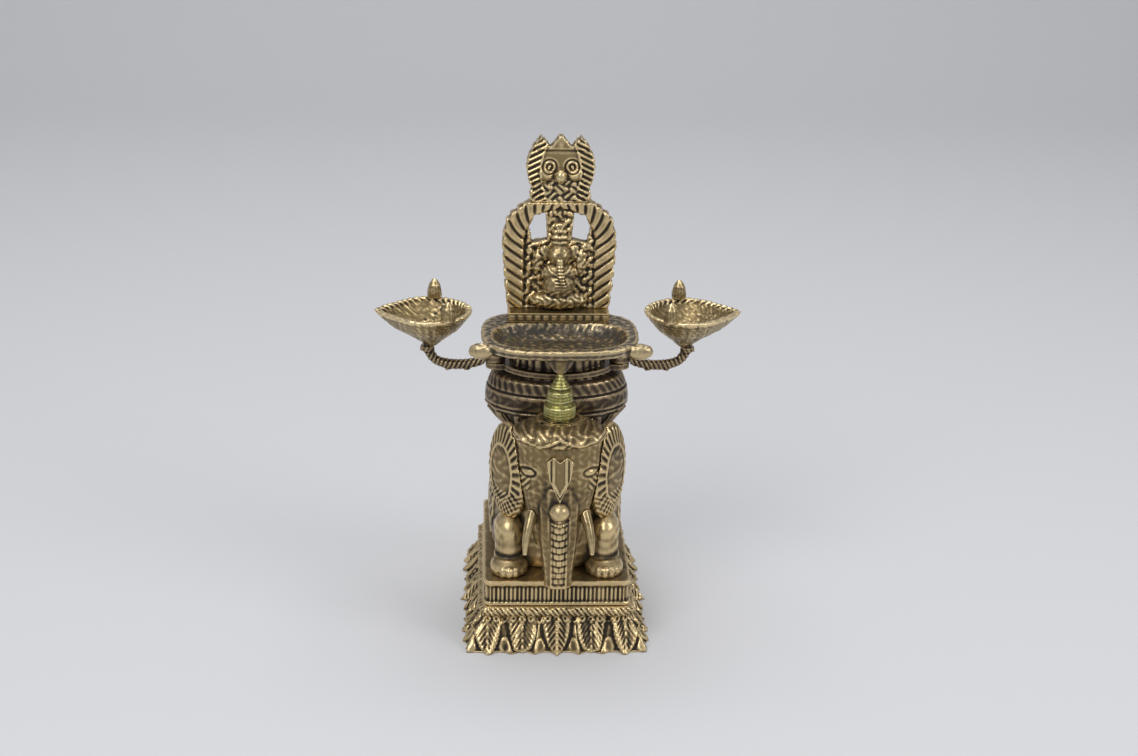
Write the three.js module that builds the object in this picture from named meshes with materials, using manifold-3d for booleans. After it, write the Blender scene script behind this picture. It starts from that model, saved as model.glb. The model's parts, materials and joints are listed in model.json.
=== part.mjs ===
// Temple oil lamp on a kneeling elephant, in millimetres, +Z up, front towards -Y.
import * as THREE from "three";
import { mergeVertices } from "three/addons/utils/BufferGeometryUtils.js";
import Module from "manifold-3d";

const wasm = await Module();
wasm.setup();

// Clearances
const SEAT = 0.3; // between cast pieces that rest on each other
const BORE = 0.3; // around a stud or a pin
const CUT = 0.35; // between pieces that fit into each other's curved faces

// Plinth
const BASE_W = 80, BASE_D = 100, SKIRT_H = 13.6, SKIRT_WALL = 4, SKIRT_LEAN = 9, LEAF_DEPTH = 1.6, LEAVES = 36, CORNER = 5;
const ROPE_H = 4.4, ROPE_OUT = 1.6;
const BLOCK_W = 60, BLOCK_D = 81, BLOCK_H = 11.1, FLUTE_DEPTH = 0.15;
// Elephant
const BODY_H = 48.4, BODY_W = 56, BODY_D = 68;
const HEAD_Y = -29, HEAD_W = 36, TRUNK_R = 7.6, TRUNK_WIDE = 1.15, EAR_T = 9, EAR_W = 25, EAR_H = 44, EAR_TURN = 0.6, PENDANT_W = 10.8, PENDANT_H = 19, PENDANT_TILT = 0.2, TUSK_R = 2.1;
// Vase
const VASE_Y = 3, VASE_H = 42, VASE_W = 60.8, VASE_D = 40, NECK_W = 39, NECK_D = 31, VASE_WALL = 2.5;
// Stud, nut and washer
const STUD_R = 2.6, NUT_R = 6, NUT_H = 3.6, WASHER_R = 7.5, WASHER_H = 1.4, STUD_GRIP = 4;
// Arms and cups
const COLLAR_WALL = 2.2, PIVOT_X = 26, LUG_H = 2.4, EYE_R = 4.2, EYE_H = 3.2, PIN_R = 1.4, PIN_HEAD_R = 2.6;
const ARM_R = 2, CUP_X = 52.5, CUP_L = 44, CUP_W = 35, CUP_H = 15.5, CUP_WALL = 2, ARM_RISE = 6.6, BUD_R = 3.2, BUD_H = 8;
// Front dish
const DISH_W = 64, DISH_FRONT = -39, DISH_BACK = 11, DISH_H = 9.5, KEEL_DROP = 3, DISH_WALL = 3.5, PLUG_H = 5;
const FINIAL_Y = -28, FINIAL_R = 6.6, LUG_R = 3.4;
// Plaque
const PLAQUE_Y = 6, PLAQUE_T = 5, LEDGE_W = 42, LEDGE_H = 3.8, ARCH_H = 45, ARCH_LUMP = 1.1, HOOD_H = 27;

// Heights that follow from the sizes above
const ROPE_Z = SKIRT_H + SEAT;
const BLOCK_Z = ROPE_Z + ROPE_H + SEAT;
const BODY_Z = BLOCK_Z + BLOCK_H + SEAT;
const VASE_Z = BODY_Z + BODY_H + SEAT;
const NECK_TOP = VASE_Z + VASE_H;
const DISH_Z = NECK_TOP + SEAT;
const DISH_TOP = DISH_Z + DISH_H;
const LEDGE_Z = DISH_TOP + SEAT;
const ARCH_Z = LEDGE_Z + LEDGE_H + SEAT;
const HOOD_Z = ARCH_Z + ARCH_H + SEAT;
const COLLAR_Z = NECK_TOP - 10.9;
const EYE_Z = COLLAR_Z + LUG_H + SEAT;
const CEILING = SKIRT_H - SKIRT_WALL;

// A closed surface through rings of equal length, with a fan over the first and the last
function loft(rings) {
  const n = rings[0].length, pos = [], idx = [];
  rings.forEach((r) => r.forEach((p) => pos.push(p[0], p[1], p[2])));
  for (let k = 0; k + 1 < rings.length; k++)
    for (let i = 0; i < n; i++) {
      const j = (i + 1) % n, a = k * n, b = a + n;
      idx.push(a + i, a + j, b + j, a + i, b + j, b + i);
    }
  const cap = (ring, base, up) => {
    const c = ring.reduce((s, p) => [s[0] + p[0] / n, s[1] + p[1] / n, s[2] + p[2] / n], [0, 0, 0]);
    const at = pos.length / 3;
    pos.push(...c);
    for (let i = 0; i < n; i++) {
      const j = (i + 1) % n;
      idx.push(at, base + (up ? i : j), base + (up ? j : i));
    }
  };
  cap(rings[0], 0, false);
  cap(rings[rings.length - 1], (rings.length - 1) * n, true);
  const g = new THREE.BufferGeometry();
  g.setAttribute("position", new THREE.Float32BufferAttribute(pos, 3));
  g.setIndex(idx);
  return g;
}

// A ring with half sizes a and b, squareness e (2 is an ellipse) and a ripple
function ring(a, b, z, { e = 2, n = 48, x = 0, y = 0, waves = 0, depth = 0, phase = 0 } = {}) {
  return Array.from({ length: n }, (_, i) => {
    const t = (2 * Math.PI * i) / n, c = Math.cos(t), s = Math.sin(t);
    const k = 1 + (waves ? (depth * Math.cos(waves * t + phase)) / Math.max(a, b) : 0);
    const p = 2 / e;
    return [x + k * a * Math.sign(c) * Math.abs(c) ** p, y + k * b * Math.sign(s) * Math.abs(s) ** p, z];
  });
}

// A rounded rectangle with points at even steps along its edge, and waves that start on the front's middle
function rect(a, b, z, { n = 96, corner = 5, waves = 0, depth = 0, phase = 0 } = {}) {
  const w = a - corner, d = b - corner, arc = (Math.PI * corner) / 2, total = 4 * (w + d + arc);
  return Array.from({ length: n }, (_, i) => {
    let s = (i / n) * total;
    const sides = [[1, 0, d], [0, 1, 2 * w], [-1, 0, 2 * d], [0, -1, 2 * w], [1, 0, d]];
    const push = waves ? depth * Math.cos((waves * 2 * Math.PI * i) / n + phase) : 0;
    for (let k = 0; k < 5; k++) {
      const [nx, ny, len] = sides[k], from = k === 0 ? 0 : -len / 2;
      if (s <= len || k === 4) {
        const u = k === 0 ? s : k === 4 ? s - d : from + s;
        return [nx * (a + push) - ny * u, ny * (b + push) + nx * u, z];
      }
      s -= len;
      if (s <= arc) {
        const t = Math.atan2(ny, nx) + s / corner, cx = Math.sign(nx - ny), cy = Math.sign(nx + ny);
        return [cx * w + (corner + push) * Math.cos(t), cy * d + (corner + push) * Math.sin(t), z];
      }
      s -= arc;
    }
    return [a, 0, z];
  });
}

// A tube along points, with one radius for each point
function tube(points, radii, sides = 14, steps = 20) {
  const path = new THREE.CatmullRomCurve3(points.map((p) => new THREE.Vector3(...p)));
  const f = path.computeFrenetFrames(steps, false);
  const rings = [];
  for (let k = 0; k <= steps; k++) {
    const u = k / steps, p = path.getPoint(u), q = u * (radii.length - 1), i = Math.min(Math.floor(q), radii.length - 2);
    const r = radii[i] + (radii[i + 1] - radii[i]) * (q - i), N = f.normals[k], B = f.binormals[k];
    rings.push(Array.from({ length: sides }, (_, m) => {
      const t = (2 * Math.PI * m) / sides, c = r * Math.cos(t), s = r * Math.sin(t);
      return [p.x + c * N.x + s * B.x, p.y + c * N.y + s * B.y, p.z + c * N.z + s * B.z];
    }));
  }
  return loft(rings);
}

function solid(g) {
  const c = g.index ? g.toNonIndexed() : g.clone();
  c.deleteAttribute("normal");
  c.deleteAttribute("uv");
  const m = mergeVertices(c, 1e-4);
  return new wasm.Manifold(new wasm.Mesh({
    numProp: 3, vertProperties: m.attributes.position.array, triVerts: new Uint32Array(m.index.array),
  }));
}

const join = (...all) => all.reduce((a, b) => a.add(b));

// What is left of a solid after cuts, without crumbs
function cut(a, ...tools) {
  const left = tools.reduce((s, t) => s.subtract(t), a).decompose();
  return left.reduce((m, s) => (s.volume() > m.volume() ? s : m));
}

const cyl = (r, z0, z1, x = 0, y = 0, n = 20) =>
  solid(new THREE.CylinderGeometry(r, r, z1 - z0, n).rotateX(Math.PI / 2).translate(x, y, (z0 + z1) / 2));
const ball = (x, y, z, a, b, c, n = 12) =>
  solid(new THREE.SphereGeometry(1, n, Math.round(n / 1.6)).scale(a, b, c).translate(x, y, z));
const box = (x0, x1, y0, y1, z0, z1) =>
  solid(new THREE.BoxGeometry(x1 - x0, y1 - y0, z1 - z0).translate((x0 + x1) / 2, (y0 + y1) / 2, (z0 + z1) / 2));
const lathe = (profile, x = 0, y = 0, n = 20) =>
  solid(new THREE.LatheGeometry(profile.map((p) => new THREE.Vector2(...p)), n).rotateX(Math.PI / 2).translate(x, y, 0));
const plate = (outline, y0, y1, holes = []) => {
  const s = new THREE.Shape(outline.map((p) => new THREE.Vector2(...p)));
  holes.forEach((h) => s.holes.push(new THREE.Path(h.map((p) => new THREE.Vector2(...p)))));
  const g = new THREE.ExtrudeGeometry(s, { depth: y1 - y0, bevelEnabled: false, curveSegments: 6 });
  return solid(g.rotateX(Math.PI / 2).translate(0, y1, 0));
};

// Leaf skirt: flared, hollow below, with a wavy leaf edge
function leafSkirt() {
  const at = (z, inset, wave) => {
    const lean = (SKIRT_LEAN * z) / SKIRT_H;
    return rect(BASE_W / 2 - lean - inset, BASE_D / 2 - lean - inset, z,
      { n: 108, corner: CORNER, waves: wave ? LEAVES : 0, depth: wave });
  };
  const inside = SKIRT_WALL + LEAF_DEPTH;
  return cut(
    solid(loft([at(CEILING, inside, 0), at(0, inside, 0), at(0, LEAF_DEPTH, LEAF_DEPTH),
      at(SKIRT_H * 0.55, LEAF_DEPTH, LEAF_DEPTH * 0.8), at(SKIRT_H, LEAF_DEPTH, 0)])),
    cyl(STUD_R + BORE, -1, SKIRT_H + 1));
}

// Rope moulding between the skirt and the block
function ropeMoulding() {
  const a = BLOCK_W / 2 + 1, b = BLOCK_D / 2 + 1;
  const at = (u, out, deep) => rect(a + out, b + out, ROPE_Z + u * ROPE_H,
    { n: 96, corner: CORNER, waves: 32, depth: deep, phase: u * 3 });
  return cut(solid(loft([at(0, 0, 0), at(0.25, ROPE_OUT * 0.8, 0.5), at(0.5, ROPE_OUT, 0.6),
    at(0.75, ROPE_OUT * 0.8, 0.5), at(1, 0, 0)])), cyl(STUD_R + BORE, 0, BODY_Z));
}

// Upper block with flutes round it
function flutedBlock() {
  const at = (z, flute, grow = 0) => rect(BLOCK_W / 2 + grow, BLOCK_D / 2 + grow, z,
    { n: 120, corner: CORNER / 2, waves: 60, depth: flute });
  const top = BLOCK_Z + BLOCK_H;
  return cut(solid(loft([at(BLOCK_Z, 0, 0.6), at(BLOCK_Z + 1.2, 0, 0.6), at(BLOCK_Z + 1.4, FLUTE_DEPTH),
    at(top - 2, FLUTE_DEPTH), at(top - 1.8, 0, 0.5), at(top, 0, 0.5)])), cyl(STUD_R + BORE, 0, BODY_Z));
}

// Kneeling body; grow widens it, for cutting the pieces that fit against it
function bodyForm(grow = 0) {
  const level = [[0, 0.9, 0.97], [0.06, 0.97, 1], [0.3, 1, 1], [0.46, 1, 0.98], [0.7, 0.93, 0.9], [0.86, 0.85, 0.8], [1, 0.72, 0.66]];
  return solid(loft(level.map(([u, w, d]) => ring((BODY_W / 2) * w + grow, (BODY_D / 2) * d + grow,
    BODY_Z + u * BODY_H + (u === 1 ? grow : 0), { e: 2.6, y: 4, n: 32 }))));
}
const foreleg = (side, grow = 0) => join(
  ball(side * 20, -24.5, BODY_Z + 17, 6.6 + grow, 9 + grow, 8 + grow, 14),
  cyl(6 + grow, BODY_Z + 2, BODY_Z + 17, side * 20, -27),
  solid(loft([ring(8 + grow, 8.5 + grow, BODY_Z, { x: side * 20, y: -30, n: 20 }),
    ring(8 + grow, 8.5 + grow, BODY_Z + 3.2, { x: side * 20, y: -30, n: 20 }),
    ring(6 + grow, 6 + grow, BODY_Z + 6, { x: side * 20, y: -29, n: 20 })])));

// Head with brow, and the trunk that hangs over the front of the plinth
function headForm(grow = 0) {
  const level = [[44, 9.5, 6, -33], [52, 11.5, 8, -33], [60, 13.3, 9.5, -32], [70, 16, 11, -31], [80, 17.5, 12, -30],
    [90, HEAD_W / 2, 12, HEAD_Y], [95, 16.5, 10.5, HEAD_Y], [98.6, 9, 7.5, HEAD_Y]];
  return solid(loft(level.map(([z, a, b, y]) => ring(a + grow, b + grow, z, { e: 2.3, y, n: 28 }))));
}
function trunkForm(grow = 0) {
  const r = TRUNK_R + grow;
  return solid(tube([[0, -35.5, 70], [0, -38.5, 60], [0, -41, 48], [0, -43, 38], [0, -43.6, 29.5]],
    [r * 1.05, r, r * 0.9, r * 0.75, r * 0.66], 12, 14).scale(TRUNK_WIDE, 1, 1));
}
const trunkTip = (grow = 0) => join(
  solid(tube([[0, -44, 31], [0, -46.4, 36], [0, -46.6, 48], [0, -46, 60]], [3, 3, 2.9, 2.9].map((v) => v + grow), 10, 10)),
  ball(0, -45.6, 63.5, 4.2 + grow, 3.8, 4.2 + grow, 12));
const tuskForm = (side, grow = 0) => solid(tube(
  [[side * 10.5, -37, 60], [side * 12.2, -41, 55], [side * 13.4, -43.5, 49.5], [side * 13.8, -44.8, 44]],
  [TUSK_R + 0.6, TUSK_R, TUSK_R * 0.8, 0.9].map((v) => v + grow), 10, 8));
const earForm = (side) => solid(new THREE.SphereGeometry(1, 18, 12).scale(EAR_T / 2, EAR_W / 2, EAR_H / 2)
  .rotateZ(-side * EAR_TURN).translate(side * 20.6, -25.5, 73.5));
function pendantForm(grow = 0) {
  const k = 1 + grow / 5, mid = PENDANT_H / 2, w = PENDANT_W / 2;
  const outline = [[0, -PENDANT_H], [w * 0.8, -mid], [w, -2.2], [w * 0.5, 0], [0, -2.4], [-w * 0.5, 0], [-w, -2.2], [-w * 0.8, -mid]];
  const s = new THREE.Shape(outline.map(([x, z]) => new THREE.Vector2(x * k, (z + mid) * k - mid)));
  const g = new THREE.ExtrudeGeometry(s, { depth: 5 + 2 * grow, bevelEnabled: false });
  return solid(g.rotateX(Math.PI / 2 - PENDANT_TILT).translate(0, -38.6 + grow, 86));
}
const crownForm = (grow = 0) => ball(0, HEAD_Y - 2, 92.8, HEAD_W / 2 + 1.6 + grow, 12.8 + grow, 6.6 + grow, 28);

// Vase: rings up the outside and down the inside
function vaseForm(grow = 0, hollow = true) {
  const out = [[0, 15, 12, 0], [2.3, 18.7, 14.5, 0.5], [8, 24.5, 17.5, 0.9], [14, 29.4, 19.6, 0.6],
    [16, VASE_W / 2, VASE_D / 2, 0], [22, 30, 19.8, 0], [28.2, 27.5, 18.4, 0], [30.5, 21.5, 16.4, 0.3],
    [34, NECK_W / 2, NECK_D / 2, 0.4], [VASE_H, NECK_W / 2, NECK_D / 2, 0]];
  const inner = [[VASE_H, -VASE_WALL], [28.5, -VASE_WALL], [26, 6], [15, 7], [8, 2], [7, -6]];
  const rings = out.map(([z, a, b, d]) => ring(a + grow, b + grow, VASE_Z + z - (z ? 0 : grow),
    { y: VASE_Y, waves: 12, depth: d, n: 48 }));
  if (hollow) inner.forEach(([z, o]) => rings.push(ring(NECK_W / 2 + o, NECK_D / 2 + Math.min(o, 1.5), VASE_Z + z, { y: VASE_Y, n: 48 })));
  return solid(loft(rings));
}

// Three-step cone from the head up to the keel of the dish
function finial(low) {
  const h = DISH_Z - KEEL_DROP - SEAT - low;
  return lathe([[0, low], [FINIAL_R, low], [FINIAL_R, low + h * 0.26], [FINIAL_R - 1.4, low + h * 0.34],
    [FINIAL_R - 1.1, low + h * 0.4], [FINIAL_R - 1.6, low + h * 0.6], [FINIAL_R - 3, low + h * 0.66],
    [FINIAL_R - 2.6, low + h * 0.7], [0.7, low + h], [0, low + h]], 0, FINIAL_Y);
}

// Front dish: a deck at the back, a bowl in front, a keel below and a plug that sits in the neck
function frontDish() {
  const midY = (DISH_FRONT + DISH_BACK) / 2, b = (DISH_BACK - DISH_FRONT) / 2;
  const at = (u, w, d, y = midY) => ring((DISH_W / 2) * w, b * d, DISH_Z + u * DISH_H, { e: 3, y, n: 40 });
  const body = solid(loft([at(0, 0.66, 0.5, -4), at(0.25, 0.84, 0.8, -9), at(0.6, 0.97, 0.95), at(0.9, 1, 1), at(1, 1, 1)]));
  const bowlY = (DISH_FRONT + DISH_WALL - 2) / 2, bowlD = (-2 - DISH_FRONT - DISH_WALL) / 2;
  const hollow = solid(loft([[0.36, 0.6], [0.6, 0.86], [1.1, 1]].map(([u, k]) =>
    ring((DISH_W / 2 - DISH_WALL) * k, bowlD * k, DISH_Z + u * DISH_H, { e: 2.6, y: bowlY, n: 32 }))));
  const plug = solid(loft([DISH_Z - PLUG_H, DISH_Z + 2].map((z) =>
    ring(NECK_W / 2 - VASE_WALL - CUT, NECK_D / 2 - VASE_WALL - CUT, z, { y: VASE_Y, n: 36 }))));
  const keel = lathe([[0, DISH_Z - KEEL_DROP], [2.2, DISH_Z - KEEL_DROP], [6.8, DISH_Z + 4], [0, DISH_Z + 4]], 0, FINIAL_Y);
  const lugs = [-1, 1].map((s) => ball(s * (DISH_W / 2), DISH_FRONT + 9, DISH_Z + DISH_H * 0.7, LUG_R * 1.6, LUG_R, LUG_R, 12));
  return cut(join(body, plug, keel, ...lugs), hollow);
}

// Collar round the neck with a lug at each side for the arms
function armCollar() {
  const a = NECK_W / 2 + CUT + 0.6, b = NECK_D / 2 + CUT + 0.6;
  const shell = solid(loft([COLLAR_Z, COLLAR_Z + LUG_H].map((z) => ring(a + COLLAR_WALL + 2, b + COLLAR_WALL, z, { y: VASE_Y, n: 36 }))));
  const lug = (s) => join(cyl(EYE_R, COLLAR_Z, COLLAR_Z + LUG_H, s * PIVOT_X, 0), box(Math.min(s * 20, s * PIVOT_X),
    Math.max(s * 20, s * PIVOT_X), -EYE_R, EYE_R, COLLAR_Z, COLLAR_Z + LUG_H));
  return cut(join(shell, lug(1), lug(-1)), vaseForm(CUT, false),
    ...[1, -1].map((s) => cyl(PIN_R + BORE, COLLAR_Z - 1, EYE_Z, s * PIVOT_X, 0)));
}
function pivotPin(side) {
  const low = COLLAR_Z - 1, top = EYE_Z + EYE_H + SEAT;
  return lathe([[0, low], [PIN_R, low], [PIN_R, top], [PIN_HEAD_R, top], [PIN_HEAD_R * 0.7, top + 1.2], [0, top + 1.4]],
    side * PIVOT_X, 0, 16);
}

// Curved arm: an eye on the pivot pin, a tube, and a seat under the cup
const CUP_Z = EYE_Z + ARM_RISE + SEAT;
function lampArm(side) {
  const z = EYE_Z + EYE_H / 2, keel = CUP_X + 2;
  const bend = tube([[side * (PIVOT_X + 2), 0, z], [side * 34, 0, z - 2.4], [side * 43, 0, z - 3.4], [side * 51, 0, z - 1.4],
    [side * keel, 0, CUP_Z - SEAT - 1]], [ARM_R * 0.75, ARM_R, ARM_R * 1.1, ARM_R, ARM_R * 1.1], 10, 12);
  const reach = side * (PIVOT_X + EYE_R + CUT);
  const overLug = box(Math.min(0, reach), Math.max(0, reach), -EYE_R * 2, EYE_R * 2, EYE_Z - 9, EYE_Z);
  return cut(join(cyl(EYE_R, EYE_Z, EYE_Z + EYE_H, side * PIVOT_X, 0), solid(bend),
    cyl(ARM_R * 1.5, CUP_Z - SEAT - 2, CUP_Z - SEAT, side * keel, 0), ball(side * 38, 0, z - 4.6, 1.6, 1.6, 1.6, 8),
    ball(side * 46, 0, z - 4.6, 1.6, 1.6, 1.6, 8)), cyl(PIN_R + BORE, EYE_Z - 1, EYE_Z + EYE_H + 1, side * PIVOT_X, 0),
    overLug).trimByPlane([0, 0, -1], SEAT - CUP_Z);
}

// Leaf-shaped cup with a pointed spout outwards
function cupShape(k, z, side) {
  const n = 32;
  const pts = Array.from({ length: n }, (_, i) => {
    const t = (2 * Math.PI * i) / n, c = Math.cos(t), s = Math.sin(t);
    const tip = Math.max(0, c) ** 6 * 0.16, x = c * (1 - 0.16 + tip) + 0.08, y = s * (1 - 0.28 * Math.max(0, c) ** 2);
    return [CUP_X + (CUP_L / 2) * x * k, (CUP_W / 2) * y * k, z];
  });
  return side > 0 ? pts : pts.map(([x, y, w]) => [-x, y, w]).reverse();
}
function sideCup(side) {
  const level = [[0, 0.12], [0.2, 0.3], [0.5, 0.66], [0.8, 0.9], [1, 1]];
  const outside = level.map(([u, k]) => cupShape(k, CUP_Z + u * CUP_H, side));
  const wall = CUP_WALL / (CUP_W / 2);
  const inside = [[1, 1], [0.8, 0.9], [0.5, 0.66], [0.32, 0.42]].map(([u, k]) => cupShape(k - wall, CUP_Z + u * CUP_H, side));
  return solid(loft([...outside, ...inside]));
}
function bud(side, x, y) {
  const z = CUP_Z + CUP_H + SEAT, h = BUD_H;
  return lathe([[0, z], [BUD_R, z], [BUD_R * 0.96, z + h * 0.3], [BUD_R * 0.76, z + h * 0.66], [BUD_R * 0.36, z + h * 0.92],
    [0, z + h]], side * x, y, 14);
}

// Plaque: ledge, serpent arch with two openings, hood with three points, and the seated figure
const ledge = () => box(-LEDGE_W / 2, LEDGE_W / 2, -4, PLAQUE_Y + PLAQUE_T / 2 + 1.5, LEDGE_Z, LEDGE_Z + LEDGE_H);
function archForm() {
  const spine = [[20.2, 0], [21.2, 10], [22, 20], [22.6, 30], [20.6, 38], [16.4, 42.2], [12.4, ARCH_H]];
  const steps = 30, half = Array.from({ length: steps + 1 }, (_, i) => {
    const u = (i / steps) * (spine.length - 1), k = Math.min(Math.floor(u), spine.length - 2), f = u - k;
    const lump = ARCH_LUMP * Math.abs(Math.sin((Math.PI * i) / 3)) * (i < steps);
    return [spine[k][0] + (spine[k + 1][0] - spine[k][0]) * f + lump, spine[k][1] + (spine[k + 1][1] - spine[k][1]) * f];
  });
  const outline = [...half, ...half.map(([x, z]) => [-x, z]).reverse()].map(([x, z]) => [x, ARCH_Z + z]);
  const hole = (s) => [[4.8, 29], [11.5, 28], [13, 34], [11, 40], [5.6, 41.4]].map(([x, z]) => [s * x, ARCH_Z + z]);
  return plate(outline, PLAQUE_Y - PLAQUE_T / 2, PLAQUE_Y + PLAQUE_T / 2, [hole(1), hole(-1)]);
}
function nagaHood() {
  const half = [[11.8, 0], [12.4, 3], [11.6, 6], [13.2, 10], [14, 14.5], [13.4, 19], [11.4, 23], [9.2, HOOD_H - 1], [8, HOOD_H],
    [6.8, HOOD_H - 1.2], [4.4, HOOD_H - 4], [2.6, HOOD_H - 2.2], [0.8, HOOD_H + 0.4]];
  const outline = [...half, ...half.map(([x, z]) => [-x, z]).reverse()].map(([x, z]) => [x, HOOD_Z + z]);
  const y = PLAQUE_Y - PLAQUE_T / 2;
  return join(plate(outline, y, PLAQUE_Y + PLAQUE_T / 2), ball(0, y, HOOD_Z + 11, 2.6, 3, 3.2, 14),
    ball(-6, y, HOOD_Z + 12, 3, 1.8, 3, 12), ball(6, y, HOOD_Z + 12, 3, 1.8, 3, 12));
}
function seatedFigure() {
  const z = LEDGE_Z + LEDGE_H + SEAT, y = PLAQUE_Y - PLAQUE_T / 2 - CUT;
  const all = join(ball(0, y - 1, z + 4, 12.5, 5, 4.2, 14), ball(0, y - 1, z + 10, 7, 5.4, 7, 14), ball(0, y - 0.5, z + 15.5, 8, 4, 4.6, 12),
    ball(0, y - 0.8, z + 23.4, 5, 4.4, 5, 12), ball(0, y, z + 30.5, 4, 3, 6.6, 12),
    ball(-6, y, z + 24, 3, 1.6, 3.6, 8), ball(6, y, z + 24, 3, 1.6, 3.6, 8),
    solid(tube([[0, y - 4, z + 22], [0.4, y - 5.6, z + 17], [1.6, y - 6, z + 12]], [1.7, 1.4, 1], 10, 10)),
    ball(-9, y, z + 20, 2.4, 2, 6.5, 8), ball(9, y, z + 20, 2.4, 2, 6.5, 8));
  return all.trimByPlane([0, -1, 0], -y).trimByPlane([0, 0, 1], z);
}

// Assembly
const brass = { color: 0x9a8354, roughness: 0.45, metalness: 0.9 };
const dark = { color: 0x6b5638, roughness: 0.55, metalness: 0.85 };
const green = { color: 0xa09a4a, roughness: 0.5, metalness: 0.8 };
const steel = { color: 0x8d8f90, roughness: 0.4, metalness: 1 };
const lamp = new THREE.Group();
lamp.name = "elephant_oil_lamp";
function add(name, s, look = brass) {
  const m = s.getMesh(), v = new Float32Array(m.numVert * 3);
  for (let i = 0; i < m.numVert; i++) v.set(m.vertProperties.subarray(i * m.numProp, i * m.numProp + 3), i * 3);
  const g = new THREE.BufferGeometry();
  g.setAttribute("position", new THREE.BufferAttribute(v, 3));
  g.setIndex(new THREE.BufferAttribute(new Uint32Array(m.triVerts), 1));
  g.computeVertexNormals();
  const mesh = new THREE.Mesh(g, new THREE.MeshStandardMaterial(look));
  mesh.name = name;
  lamp.add(mesh);
}

const studTop = VASE_Z + STUD_GRIP;
const studHole = (top) => cyl(STUD_R + BORE, 0, top);
const above = (s, z) => s.trimByPlane([0, 0, 1], z);

add("leaf_skirt", leafSkirt());
add("rope_moulding", ropeMoulding(), dark);
add("fluted_block", flutedBlock());
const body = cut(join(bodyForm(), foreleg(-1), foreleg(1)), studHole(VASE_Z + 1));
const bodyGap = join(bodyForm(CUT), foreleg(-1, CUT), foreleg(1, CUT));
add("elephant_body", body);
const plinthGap = box(-BLOCK_W, BLOCK_W, -BLOCK_D / 2 - 1.2, BLOCK_D, 0, BODY_Z + 0.1);
const head = cut(join(headForm(), trunkForm(), trunkTip()), bodyGap, vaseForm(CUT, false), plinthGap);
const headGap = join(headForm(CUT), trunkForm(CUT), trunkTip(CUT));
add("elephant_head", head);
const vaseGap = vaseForm(CUT, false);
add("brow_pendant", cut(pendantForm(), headGap), brass);
add("headdress", cut(crownForm(), headGap, pendantForm(CUT), vaseGap, cyl(FINIAL_R + CUT, 90, 140, 0, FINIAL_Y)));
for (const [word, s] of [["left", -1], ["right", 1]]) {
  add(word + "_ear", cut(earForm(s), headGap, bodyGap, vaseGap, crownForm(CUT)));
  add(word + "_tusk", cut(tuskForm(s), headGap, bodyGap), brass);
}
add("vase", cut(vaseForm(), cyl(STUD_R + BORE, VASE_Z - 1, studTop + SEAT)), dark);
const washerZ = CEILING - SEAT - WASHER_H, nutZ = washerZ - SEAT - NUT_H;
add("tie_stud", cyl(STUD_R, nutZ - 1, studTop), steel);
add("tie_washer", cut(cyl(WASHER_R, washerZ, washerZ + WASHER_H), studHole(30)), steel);
add("tie_nut", cut(cyl(NUT_R, nutZ, nutZ + NUT_H, 0, 0, 6), studHole(30)), steel);
add("arm_collar", armCollar(), dark);
for (const [word, s] of [["left", -1], ["right", 1]]) {
  add(word + "_pivot_pin", pivotPin(s), dark);
  add(word + "_arm", lampArm(s), dark);
  add(word + "_cup", sideCup(s));
  add(word + "_back_bud", bud(s, CUP_X - 0.8, CUP_W / 2 - 1.4));
  add(word + "_front_bud", bud(s, CUP_X - 7, 3 - CUP_W / 2));
}
const finialLow = 98.6 + SEAT;
add("finial", above(cut(finial(finialLow), vaseGap), finialLow), green);
add("front_dish", frontDish());
add("plaque_ledge", ledge());
add("serpent_arch", archForm());
add("naga_hood", nagaHood());
add("seated_figure", seatedFigure());

export default lamp;
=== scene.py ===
import json
import math

import bmesh
import bpy
import numpy as np
from mathutils import Matrix, Vector


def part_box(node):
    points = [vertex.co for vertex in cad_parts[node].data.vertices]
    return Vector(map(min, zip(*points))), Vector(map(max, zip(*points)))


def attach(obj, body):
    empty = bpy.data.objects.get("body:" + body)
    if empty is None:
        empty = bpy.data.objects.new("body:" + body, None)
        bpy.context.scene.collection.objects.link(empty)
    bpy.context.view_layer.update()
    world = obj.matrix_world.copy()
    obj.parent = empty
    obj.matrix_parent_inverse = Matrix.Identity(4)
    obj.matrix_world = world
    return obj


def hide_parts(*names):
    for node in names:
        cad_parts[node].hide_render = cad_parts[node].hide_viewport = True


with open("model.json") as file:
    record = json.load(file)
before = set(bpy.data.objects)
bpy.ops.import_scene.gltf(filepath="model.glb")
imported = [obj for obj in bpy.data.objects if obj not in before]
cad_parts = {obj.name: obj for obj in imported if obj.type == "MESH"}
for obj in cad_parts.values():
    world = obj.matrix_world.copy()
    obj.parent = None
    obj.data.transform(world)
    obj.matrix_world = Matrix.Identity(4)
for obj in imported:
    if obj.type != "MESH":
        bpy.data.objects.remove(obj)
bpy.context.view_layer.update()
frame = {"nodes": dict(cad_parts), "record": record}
MM = 0.001
PROUD = 0.8 * MM  # how far relief may stand out of a solid's box

# Body that each finely formed piece rides on
BODY_OF = {}
for body_name, members in frame["record"]["behaviour"]["bodies"].items():
    for member in members:
        BODY_OF[member] = body_name


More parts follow.
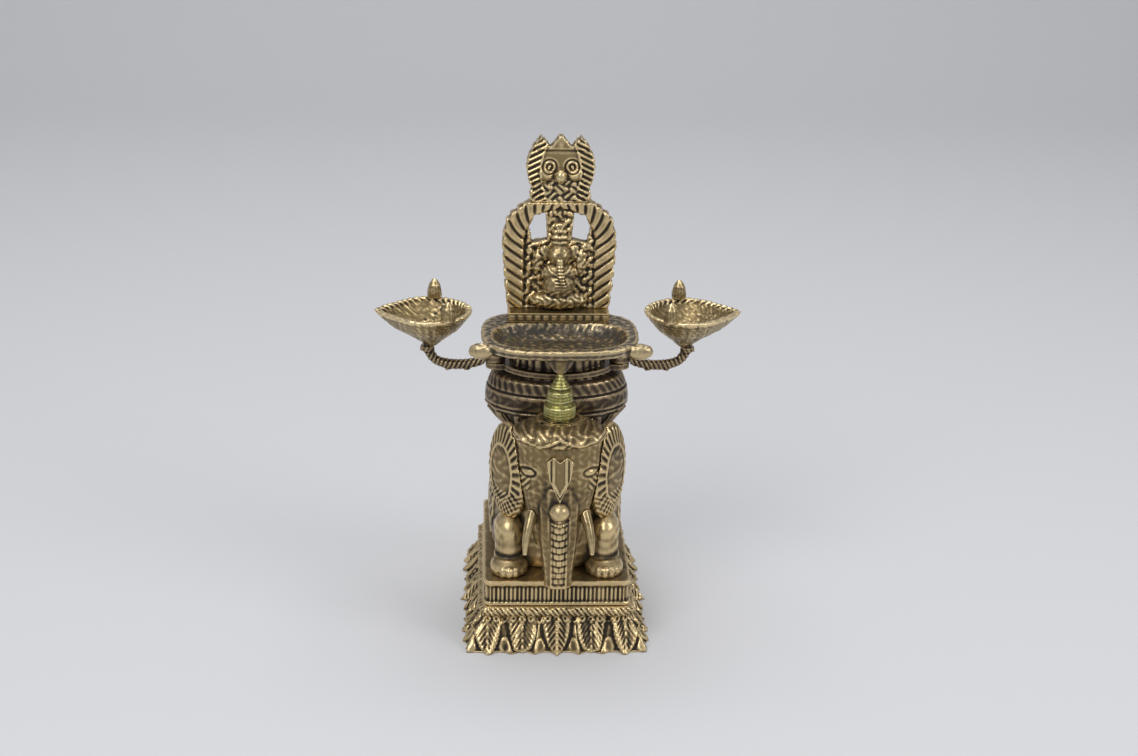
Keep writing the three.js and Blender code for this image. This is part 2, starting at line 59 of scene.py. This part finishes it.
# Shader maths: a socket with the usual operators
class S:
    def __init__(self, tree, socket):
        self.tree, self.socket = tree, socket

    def math(self, kind, other=None, third=None):
        node = self.tree.nodes.new("ShaderNodeMath")
        node.operation = kind
        for i, value in enumerate((self, other, third)):
            if isinstance(value, S):
                self.tree.links.new(value.socket, node.inputs[i])
            elif value is not None:
                node.inputs[i].default_value = value
        return S(self.tree, node.outputs[0])

    def __add__(self, other):
        return self.math("ADD", other)

    def __mul__(self, other):
        return self.math("MULTIPLY", other)

    __radd__, __rmul__ = __add__, __mul__

    def __sub__(self, other):
        return self.math("SUBTRACT", other)

    def __rsub__(self, other):
        return (self * -1.0) + other

    def clamp(self):
        return self.math("MINIMUM", 1.0).math("MAXIMUM", 0.0)


def node(tree, kind, links=(), **settings):
    made = tree.nodes.new(kind)
    for key, value in settings.items():
        setattr(made, key, value)
    for name, value in dict(links).items():
        if isinstance(value, S):
            tree.links.new(value.socket, made.inputs[name])
        else:
            made.inputs[name].default_value = value
    return made


def noise(tree, scale, detail=4.0, distortion=0.0):
    where = node(tree, "ShaderNodeTexCoord")
    made = node(tree, "ShaderNodeTexNoise", {"Vector": S(tree, where.outputs["Object"]), "Scale": scale,
                                             "Detail": detail, "Distortion": distortion})
    return S(tree, made.outputs["Fac"])


def mix(tree, factor, a, b):
    made = tree.nodes.new("ShaderNodeMix")
    made.data_type = "RGBA"
    tree.links.new(factor.socket, made.inputs["Factor"])
    for i, value in ((6, a), (7, b)):
        if isinstance(value, S):
            tree.links.new(value.socket, made.inputs[i])
        else:
            made.inputs[i].default_value = (*value, 1.0)
    return S(tree, made.outputs[2])


# Aged brass: painted shade darkens the recesses and a painted highlight brightens the ridges together with rubbed wear,
# with grime and green bloom
def brass(name, base, highlight_and_polish, grime_and_shade_colour, green=0.25, grime=0.3, metal=0.85):
    material = bpy.data.materials.new(name)
    material.use_nodes = True
    tree = material.node_tree
    shader = tree.nodes["Principled BSDF"]
    hollow = S(tree, node(tree, "ShaderNodeAttribute", attribute_name="cavity").outputs["Fac"])
    blotch, fine, speck = noise(tree, 60.0, 5.0, 0.6), noise(tree, 420.0, 3.0), noise(tree, 1500.0, 2.0)
    # painted shade: the cavity value darkens recesses, mixed with random blotches of tone
    shade_and_blotch = ((0.5 - hollow) * 3.0 + (blotch - 0.46) * 1.3 + (fine - 0.55) * 1.1).clamp()
    # rubbed wear and a painted highlight: ridges are brightened from the cavity value
    wear_and_highlight = ((hollow - 0.52) * 4.0 + (fine - 0.5) * 1.2).clamp()
    colour = mix(tree, (blotch * 1.6 - 0.4).clamp(), base, tuple(0.72 * c for c in base))
    colour = mix(tree, wear_and_highlight, colour, highlight_and_polish)
    # grime blotches plus the painted recess shade, pulling the colour towards the near-black fourth colour
    grime_and_shade = (shade_and_blotch + (blotch - 0.5) * grime * 2.0).clamp()
    colour = mix(tree, grime_and_shade, colour, grime_and_shade_colour)
    bloom = ((noise(tree, 95.0, 4.0, 1.2) - (0.72 - 0.2 * green)) * 9.0).clamp() * green * 2.0
    colour = mix(tree, bloom.clamp(), colour, (0.085, 0.125, 0.06))
    tree.links.new(colour.socket, shader.inputs["Base Color"])
    rough = (0.36 + grime_and_shade * 0.34 + (fine - 0.5) * 0.25 - wear_and_highlight * 0.08).clamp()
    tree.links.new(rough.socket, shader.inputs["Roughness"])
    tree.links.new((metal - grime_and_shade * 0.45 - bloom * 0.3).clamp().socket, shader.inputs["Metallic"])
    bump = node(tree, "ShaderNodeBump", {"Height": fine * 0.7 + speck * 0.3, "Strength": 0.35, "Distance": 0.0003})
    tree.links.new(bump.outputs["Normal"], shader.inputs["Normal"])
    return material


# third colour: rubbed wear with a painted highlight on ridges; fourth colour: grime with painted shade in recesses
GOLD = brass("worn_brass", (0.26, 0.185, 0.085), (0.72, 0.55, 0.29), (0.028, 0.02, 0.012), grime=0.55)
PALE = brass("pale_brass", (0.32, 0.235, 0.11), (0.8, 0.63, 0.35), (0.035, 0.026, 0.016), green=0.15, grime=0.5)
BROWN = brass("brown_brass", (0.1, 0.072, 0.048), (0.4, 0.3, 0.17), (0.016, 0.011, 0.008), green=0.15)
OLIVE = brass("olive_brass", (0.34, 0.31, 0.09), (0.72, 0.66, 0.3), (0.05, 0.045, 0.015), green=0.6)
GRIMY = brass("grimy_brass", (0.15, 0.12, 0.08), (0.55, 0.43, 0.24), (0.05, 0.042, 0.032), green=0.3, grime=0.9, metal=0.7)
STEEL = brass("plain_steel", (0.4, 0.4, 0.4), (0.7, 0.7, 0.7), (0.06, 0.055, 0.05), green=0.0, metal=1.0)


# A vertex value from 0 in recesses to 1 on ridges, measured over the mesh
def mark_cavities(mesh, passes=4, gain=4.5):
    count = len(mesh.vertices)
    where = np.empty(count * 3, np.float32)
    mesh.vertices.foreach_get("co", where)
    where = where.reshape(-1, 3).astype(np.float64)
    normal = np.empty(count * 3, np.float32)
    mesh.vertices.foreach_get("normal", normal)
    normal = normal.reshape(-1, 3)
    edge = np.empty(len(mesh.edges) * 2, np.int32)
    mesh.edges.foreach_get("vertices", edge)
    a, b = edge.reshape(-1, 2).T
    degree = np.bincount(np.concatenate([a, b]), minlength=count).clip(1)

    def around(value):
        total = np.zeros_like(value)
        np.add.at(total, a, value[b])
        np.add.at(total, b, value[a])
        return total / (degree[:, None] if value.ndim == 2 else degree)

    smooth = where
    for _ in range(passes):
        smooth = around(smooth)
    raised = ((where - smooth) * normal).sum(1) / MM
    raised = around(raised)
    value = (0.5 + raised * gain).clip(0, 1)
    attribute = mesh.attributes.new("cavity", "FLOAT", "POINT")
    attribute.data.foreach_set("value", value.astype(np.float32))


# Re-forms a solid in fine even cells, then moves its points along their normals by a chasing formula in mm
def form(name, voxel, material, chase=None, smoothing=3):
    source = frame["nodes"][name]
    mesh = source.data.copy()
    piece = bpy.data.objects.new(name + "_cast", mesh)
    bpy.context.collection.objects.link(piece)
    remesh = piece.modifiers.new("cells", "REMESH")
    remesh.mode, remesh.voxel_size = "VOXEL", voxel * MM
    if smoothing:
        soften = piece.modifiers.new("soften", "SMOOTH")
        soften.factor, soften.iterations = 0.5, smoothing
    made = bpy.data.meshes.new_from_object(piece.evaluated_get(bpy.context.evaluated_depsgraph_get()))
    piece.modifiers.clear()
    piece.data = made
    made.name = name + "_cast"
    count = len(made.vertices)
    where = np.empty(count * 3, np.float32)
    made.vertices.foreach_get("co", where)
    where = where.reshape(-1, 3)
    normal = np.empty(count * 3, np.float32)
    made.vertices.foreach_get("normal", normal)
    normal = normal.reshape(-1, 3)
    if chase:
        x, y, z = (where / MM).T
        move = chase(x, y, z, *normal.T)
        where = where + normal * (np.asarray(move, np.float32) * MM)[:, None]
    low, high = (np.array(corner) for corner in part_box(name))
    where = np.clip(where, np.maximum(low - PROUD, [-9, -9, 0]), high + PROUD)
    made.vertices.foreach_set("co", where.astype(np.float32).ravel())
    made.polygons.foreach_set("use_smooth", np.ones(len(made.polygons), bool))
    made.update()
    mark_cavities(made)
    made.materials.clear()
    made.materials.append(material)
    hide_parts(name)
    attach(piece, BODY_OF[name])
    return piece


def spot(u, v, size):
    return np.exp(-((u / size) ** 2 + (v / size) ** 2))


def line(u, width):
    return np.exp(-((u / width) ** 2))


# Scroll-like curls from two crossed and bent waves
def scrolls(u, v, size):
    return np.sin(u * size + 1.3 * np.sin(v * size * 0.9)) * np.sin(v * size + 1.2 * np.sin(u * size * 0.8))


def band(value, low, high, edge=0.4):
    return 1 / (1 + np.exp(-(value - low) / edge * 4)) / (1 + np.exp((value - high) / edge * 4))


def wave(u, period):
    return np.cos(2 * np.pi * u / period)


# Along the plinth's sides: u runs on x at the front and back, on y at the flanks
def side_way(x, y, nx, ny):
    return np.where(np.abs(ny) > np.abs(nx), x, y)


# Leaf skirt: ribbed leaves with a midrib, small round ones between them, and rings above
def skirt_leaves(x, y, z, nx, ny, nz):
    u = side_way(x, y, nx, ny)
    outside = (np.hypot(nx, ny) > 0.4) & ((nx * x > 0) | (np.abs(ny) > np.abs(nx))) & ((ny * y > 0) | (np.abs(nx) > np.abs(ny)))
    period = 14.5
    leaf = (u + period / 2) % period - period / 2
    t = np.clip(z / 11.0, 0, 1)
    half = 5.4 * np.sqrt(np.clip(1 - (1 - t) ** 2.2, 0, 1)) + 0.6
    body = band(np.abs(leaf), -9, half, 0.7)
    veins = 0.22 * np.cos(2 * np.pi * (np.abs(leaf) + 0.75 * z) / 1.7)
    big = body * (0.9 + veins) + 0.45 * line(leaf, 0.5) * body
    between = (u % period) - period / 2
    small = 0.7 * band(np.hypot(between / 1.1, (z - 2.6) / 1.3), -9, 2.3, 0.5)
    rings = 0.5 * line(np.hypot(((u + 1.8) % 3.6) - 1.8, z - 12.1) - 1.0, 0.35)
    groove = -0.9 * line(np.abs(leaf) - half, 0.45) * band(z, 0, 10.4)
    return np.where(outside, big + small + rings + groove - 0.7, 0)


def rope(x, y, z, nx, ny, nz):
    return 0.4 * wave(side_way(x, y, nx, ny) + z * 0.8, 2.1) * (np.abs(nz) < 0.8)


def block_flutes(x, y, z, nx, ny, nz):
    u = side_way(x, y, nx, ny)
    flat = np.abs(nz) < 0.5
    flutes = -0.62 * np.abs(np.sin(np.pi * u / 1.75)) ** 0.8 * band(z, 19.8, 27.0, 0.4)
    return np.where(flat, flutes, np.where(nz > 0.7, 0.08 * scrolls(x, y, 0.5), 0))


# Body: a curled cloth with a beaded wavy edge, hung tassels, toenails, anklets and hide wrinkles
def body_cloth(x, y, z, nx, ny, nz):
    drop = 44 + 3.0 * np.cos(2 * np.pi * y / 13.0)
    edge = z - drop
    zone = band(y, -12, 34, 0.8)
    cloth = 0.55 * band(edge, 0, 60, 0.5) * zone
    beads = 0.5 * line(edge - 1.2, 0.9) * (0.5 + 0.5 * wave(y + x * 0.2, 2.0)) * zone
    weave = 0.24 * scrolls(y, z, 1.0) * band(edge, 4, 60, 0.6) * zone
    tassel = 0.8 * line(((y + 6.5) % 13) - 6.5, 0.9) * band(z, 33, 42, 0.6) * zone
    hide = 0.05 * np.sin(z * 1.3 + np.sin(y * 0.5) * 1.6 + np.sin(x * 0.4)) * (1 - band(edge, -1, 60, 0.6) * zone)
    back = 0.3 * scrolls(x, z, 0.8) * (ny > 0.6) * band(z, 38, 74, 1.0)
    nails = 0.4 * line(((np.abs(x) - 15.5) % 3.0) - 1.5, 0.8) * (y < -35.5) * (z < 34)
    anklet = 0.4 * line(z - 36.6, 0.6) * (y < -20) * (np.abs(x) > 13)
    return cloth + beads + weave + tassel + hide + back + nails + anklet


# Head: eyes, cheek strokes, a brick-like strip down the trunk and a knob above it
def head_lines(x, y, z, nx, ny, nz):
    front = ny < -0.15
    ax = np.abs(x)
    zone = band(z, 31, 60, 0.8) * front * (y < -44.5)
    course = np.abs(np.sin(np.pi * z / 2.9))
    bricks = -0.5 * line(course, 0.3) - 0.28 * line(((x + 1.2 * (np.floor(z / 2.9) % 2)) % 2.4) - 1.2, 0.25)
    strip = bricks * band(x, -3.1, 3.1, 0.3) * zone + 0.3 * line(ax - 3.0, 0.35) * zone
    knob = -0.5 * line(z - 59.6, 0.5) * (y < -43) * (ax < 4)
    u, v = ax - 13.0, z - 78.5
    eye = 0.75 * spot(u, v * 1.5, 1.6) - 0.4 * line(np.hypot(u / 1.6, v) - 1.9, 0.35)
    strokes = 0.42 * line(((z + 1.5 * ax) % 3.2) - 1.6, 0.55) * band(ax, 12.2, 16.5, 0.5) * band(z, 70.5, 77, 0.7)
    folds = 0.07 * wave(z + 0.3 * ax, 3.6) * (ny > -0.4)
    hide = 0.05 * scrolls(x, z, 1.1)
    return np.where(front, strip + knob + eye + strokes + hide, folds)


def crown_beads(x, y, z, nx, ny, nz):
    ax, top = np.abs(x), z - 92.5
    gem = 1.1 * spot(x, z - 95.2, 2.1) + 1.0 * spot(x, z - 90.6, 1.9)
    swags = 0.5 * line(top - 2.2 + 3.2 * np.sin(ax / 18 * np.pi), 0.7)
    knots = 0.8 * spot(ax - 8, top + 0.5, 2.2) + 0.7 * spot(ax - 14.5, top - 1, 2.2)
    return np.where(ny < 0.2, gem + swags + knots + 0.3 * scrolls(x, z, 1.1), 0.3 * scrolls(x, y, 0.9)) - 0.2


def pendant_lines(x, y, z, nx, ny, nz):
    side = np.abs(x) / 5.4 + np.clip(76 - z, 0, 20) / 9.5
    return (-0.55 * line(side - 0.66, 0.07) - 0.3 * (side < 0.36)) * (ny < -0.5)


# Ears: a feathered border inside a ridge, and hatching low down
def ear_feathers(x, y, z, nx, ny, nz):
    across = (y + 25.5) * 0.825 + (np.abs(x) - 20.6) * 0.565
    dy, dz = across / 12.5, (z - 73.5) / 22.0
    reach, turn = np.hypot(dy, dz), np.arctan2(dz, dy)
    outer = nx * np.sign(x) * 0.825 - ny * 0.565 > 0.4
    border = 0.28 * np.cos(turn * 28) * band(reach, 0.62, 0.9, 0.05) * outer
    ridge = 0.45 * line(reach - 0.58, 0.05) * outer
    hatch = 0.16 * wave(z + 0.9 * y, 1.9) * (z < 66) * (ny < 0.3)
    return border + ridge + hatch + 0.16 * scrolls(y, z, 0.8) * (reach < 0.55)


# Vase: a row of petals at the foot, a dented band between threads, slanted beads above, and a fluted neck
def vase_petals(x, y, z, nx, ny, nz):
    turn = np.arctan2((y - 3) / 20.0, x / 30.4)
    outer = nx * x + ny * (y - 3) > 0
    low = z < 92.8
    u = ((turn / (2 * np.pi) * 16) % 1) - 0.5
    t = np.clip((z - 78.7) / 14.5, 0, 1)
    half = 0.46 * np.sqrt(np.clip(1 - t ** 3.0, 0, 1))
    petal = 0.9 * band(np.abs(u), -1, half, 0.05) + 0.35 * line(u, 0.04) - 0.5 * line(np.abs(u) - half * 0.72, 0.03)
    veins = 0.12 * np.cos(turn * 90) * band(z, 84, 92, 0.6)
    threads = -0.45 * line(z - 94.6, 0.4) - 0.45 * line(z - 101.8, 0.4) + 0.3 * line(z - 93.6, 0.5)
    beads = 0.1 * np.cos(turn * 44 + z) * band(z, 102.4, 107.4, 0.5)
    dents = 0.08 * scrolls(turn * 24, z, 0.9) * band(z, 95, 101, 0.6)
    neck = 0.5 * np.abs(np.sin(turn * 17)) * band(z, 108.6, 121, 0.5)
    return np.where(outer, petal * low * 0.9 + veins + threads + beads + dents + neck, 0)


def step_threads(x, y, z, nx, ny, nz):
    return 0.05 * wave(z, 1.3) * (np.abs(nz) < 0.7) + 0.06 * scrolls(x + y, z, 1.4)


# Dish: a plain raised lip, a dented worn bowl and petals under it
def dish_petals(x, y, z, nx, ny, nz):
    turn = np.arctan2((y + 14) / 25.0, x / 32.0)
    under = (nz < 0.2) & (z < 127.5)
    petals = 0.3 * np.abs(np.cos(turn * 14)) ** 0.7 - 0.2
    lip = 0.3 * line(z - 129.8, 0.6) * (np.hypot(x / 30, (y + 14) / 23) > 0.98)
    grime = 0.14 * scrolls(x, y, 0.9) + 0.1 * scrolls(x + 3, y * 1.3, 1.9)
    return np.where(under, petals * band(z, 119, 127, 0.6), 0) + lip + np.where(nz > 0.2, grime, 0.3 * grime)


# Cups: a corded rim at the back, a plain lip in front, faint lobes under the bowl and a worn surface
def cup_lobes(x, y, z, nx, ny, nz):
    ax = np.abs(x) - 52.5
    turn = np.arctan2(y / 17.5, ax / 22.0)
    cord = 0.3 * np.cos(turn * 40 + 1.5 * z) * line(z - 134.2, 0.8) * (y > -2)
    lip = 0.35 * line(z - 133.8, 0.9) * (y <= -2)
    worn = 0.12 * scrolls(x, y + z, 0.9) + 0.08 * scrolls(x + z, y, 2.1)
    under = 0.14 * np.abs(np.cos(turn * 7)) ** 0.6 * band(z, 121, 130.6, 0.6)
    return cord + lip + worn + np.where(nz < 0, under, 0)


def arm_scales(x, y, z, nx, ny, nz):
    return 0.14 * wave(np.abs(x) + z * 0.5, 1.9) * (np.abs(x) > 31)


def bud_lobes(x, y, z, nx, ny, nz):
    return 0.06 * scrolls(x + y, z, 1.5)


# Arch: a slanted cable around it, curls inside, and a row of beads along the upper part
def arch_relief(x, y, z, nx, ny, nz):
    ax = np.abs(x)
    reach = np.hypot(x, z - 163)
    along = np.where(z > 163, 163 + np.arctan2(z - 163, ax) * 19, z)
    across = np.where(z > 163, reach, ax) - 18.8
    cable = band(across, -4.4, 6, 0.4)
    rope = cable * (0.85 * np.abs(np.cos(np.pi * (along - 0.75 * across) / 4.6)) - 0.2 * (across / 4) ** 2) + 0.1
    inner = np.where(across < -4.2, 0.75 * scrolls(x, z, 0.92) + 0.25 * scrolls(x + z, z - x, 1.5), 0)
    gap = -0.6 * line(across + 4.5, 0.5)
    bead = 0.6 * line(across + 6.2, 0.9) * np.abs(np.cos(np.pi * along / 2.6))
    face = np.abs(ny) > 0.4
    return np.where(face, rope + inner * 0.9 + gap + bead * (z > 150), 0.35 * np.abs(np.cos(np.pi * along / 4.6)))


# Hood: ribs at each side inside a rim, three pointed bosses, ringed eyes and curls low down
def hood_ridges(x, y, z, nx, ny, nz):
    ax, h = np.abs(x), z - 180.2
    edge = ax + 0.02 * (h - 13) ** 2
    ribs = 0.5 * wave(h + 0.5 * ax, 2.4) * band(edge, 8.6, 13.4, 0.5)
    rim = 0.4 * line(edge - 8.2, 0.5) * (h > 5)
    spikes = 0.5 * spot(ax - 8, (h - 24.5) / 1.6, 1.7) + 0.5 * spot(x, (h - 24.5) / 1.6, 1.7) - 0.4 * line(h - 21.6, 0.5)
    curls = 0.5 * wave(np.hypot(ax - 4.6, h - 15), 2.0) * band(np.hypot(ax - 4.6, h - 15), 0, 3.2, 0.4)
    low = 0.5 * scrolls(x, h, 1.15) * (h < 9)
    return np.where(np.abs(ny) > 0.4, ribs + rim + spikes + curls + low, 0.25 * wave(z, 2.6) * (np.abs(nx) > 0.5))


# Seated figure: crown tiers, a ridged trunk, eyes, a necklace, and curls for the cloth and armlets
def figure_dress(x, y, z, nx, ny, nz):
    h, ax = z - 134.9, np.abs(x)
    crown = 0.3 * wave(h, 2.6) * band(h, 28.5, 38, 0.5) + 0.2 * np.cos(np.arctan2(x, -y) * 10) * band(h, 29, 36, 0.5)
    trunk = 0.16 * wave(h, 1.4) * band(h, 10.5, 20, 0.6) * (np.abs(x - 0.6) < 2.2) * (y < -1.5)
    eyes = 0.4 * spot(ax - 2.2, h - 24.2, 0.8)
    necklace = 0.35 * line(np.hypot(x, h - 20.5) - 5.0, 0.5) * (h < 19)
    cloth = 0.26 * scrolls(x, h, 1.3) * (h < 9)
    armlets = 0.35 * scrolls(x, h, 1.2) * (ax > 6.5) * (h > 13)
    return crown + trunk + eyes + necklace + cloth + armlets


def ledge_leaves(x, y, z, nx, ny, nz):
    u = side_way(x, y, nx, ny)
    return np.where(np.abs(nz) < 0.5, 0.4 * np.abs(np.sin(np.pi * u / 3.5)) * band(z, 131.6, 133.8, 0.4) - 0.3, 0)


form("leaf_skirt", 0.5, GOLD, skirt_leaves, smoothing=1)
form("rope_moulding", 0.5, GOLD, rope, smoothing=2)
form("fluted_block", 0.4, GOLD, block_flutes, smoothing=1)
form("elephant_body", 0.6, GOLD, body_cloth, smoothing=8)
form("elephant_head", 0.42, GOLD, head_lines, smoothing=7)
form("headdress", 0.32, GOLD, crown_beads, smoothing=2)
form("brow_pendant", 0.25, PALE, pendant_lines, smoothing=2)
for hand in ("left", "right"):
    form(hand + "_ear", 0.42, GOLD, ear_feathers, smoothing=4)
    form(hand + "_tusk", 0.25, PALE, None, smoothing=3)
    form(hand + "_arm", 0.3, BROWN, arm_scales, smoothing=3)
    form(hand + "_cup", 0.36, PALE, cup_lobes, smoothing=2)
    form(hand + "_back_bud", 0.25, PALE, bud_lobes, smoothing=2)
    form(hand + "_front_bud", 0.25, PALE, bud_lobes, smoothing=2)
    form(hand + "_pivot_pin", 0.2, BROWN, None, smoothing=1)
form("vase", 0.45, BROWN, vase_petals, smoothing=2)
form("arm_collar", 0.3, BROWN, None, smoothing=1)
form("finial", 0.25, OLIVE, step_threads, smoothing=2)
form("front_dish", 0.5, GRIMY, dish_petals, smoothing=3)
form("plaque_ledge", 0.35, GOLD, ledge_leaves, smoothing=1)
form("serpent_arch", 0.36, GOLD, arch_relief, smoothing=2)
form("naga_hood", 0.3, PALE, hood_ridges, smoothing=2)
form("seated_figure", 0.28, PALE, figure_dress, smoothing=3)
for hidden in ("tie_stud", "tie_washer", "tie_nut"):
    data = frame["nodes"][hidden].data
    data.materials.clear()
    data.materials.append(STEEL)

# Floor that curves up into a pale backdrop
sweep = bmesh.new()
rows = [(-1.6, 0.0), (0.9, 0.0)] + [
    (0.9 + 0.5 * math.sin(a), 0.5 - 0.5 * math.cos(a)) for a in (math.pi / 24 * k for k in range(1, 13))] + [(1.4, 2.4)]
edges = [[sweep.verts.new((side * 2.4, y, z - 0.0002)) for side in (-1, 1)] for y, z in rows]
for (a, b), (c, d) in zip(edges, edges[1:]):
    sweep.faces.new((a, b, d, c)).smooth = True
floor_mesh = bpy.data.meshes.new("floor")
sweep.to_mesh(floor_mesh)
floor = bpy.data.objects.new("floor", floor_mesh)
bpy.context.collection.objects.link(floor)
pale = bpy.data.materials.new("pale_floor")
pale.use_nodes = True
pale.node_tree.nodes["Principled BSDF"].inputs["Base Color"].default_value = (0.66, 0.66, 0.67, 1.0)
pale.node_tree.nodes["Principled BSDF"].inputs["Roughness"].default_value = 0.85
floor_mesh.materials.append(pale)

# Soft studio light from above, with fills at the sides
for place, size, power in (((-0.5, -0.75, 1.0), 0.7, 6.2), ((0.85, -0.5, 0.7), 0.5, 3.0), ((0.0, 0.3, 1.3), 0.9, 6.5)):
    lamp = bpy.data.lights.new("softbox", "AREA")
    lamp.size, lamp.energy = size, power
    holder = bpy.data.objects.new("softbox", lamp)
    holder.location = place
    holder.rotation_euler = (Vector((0, 0, 0.1)) - Vector(place)).to_track_quat("-Z", "Y").to_euler()
    bpy.context.collection.objects.link(holder)
world = bpy.data.worlds.new("studio")
world.use_nodes = True
world.node_tree.nodes["Background"].inputs["Color"].default_value = (0.9, 0.93, 1.0, 1.0)
world.node_tree.nodes["Background"].inputs["Strength"].default_value = 0.42
bpy.context.scene.world = world

# Camera where the photograph was taken: a little above, slightly to the left
AZIMUTH, PITCH, ROLL = math.radians(-3.0), math.radians(21.3), math.radians(1.3)
camera = bpy.data.cameras.new("camera")
camera.lens, camera.sensor_width = 60.8, 36.0
eye = bpy.data.objects.new("camera", camera)
eye.matrix_world = (
    Matrix.Rotation(AZIMUTH, 4, "Z") @ Matrix.Translation((0.005, -0.754, 0.3987))
    @ Matrix.Rotation(math.pi / 2 - PITCH, 4, "X") @ Matrix.Rotation(ROLL, 4, "Z"))
bpy.context.collection.objects.link(eye)
bpy.context.scene.camera = eye
bpy.context.scene.view_settings.view_transform = "Standard"
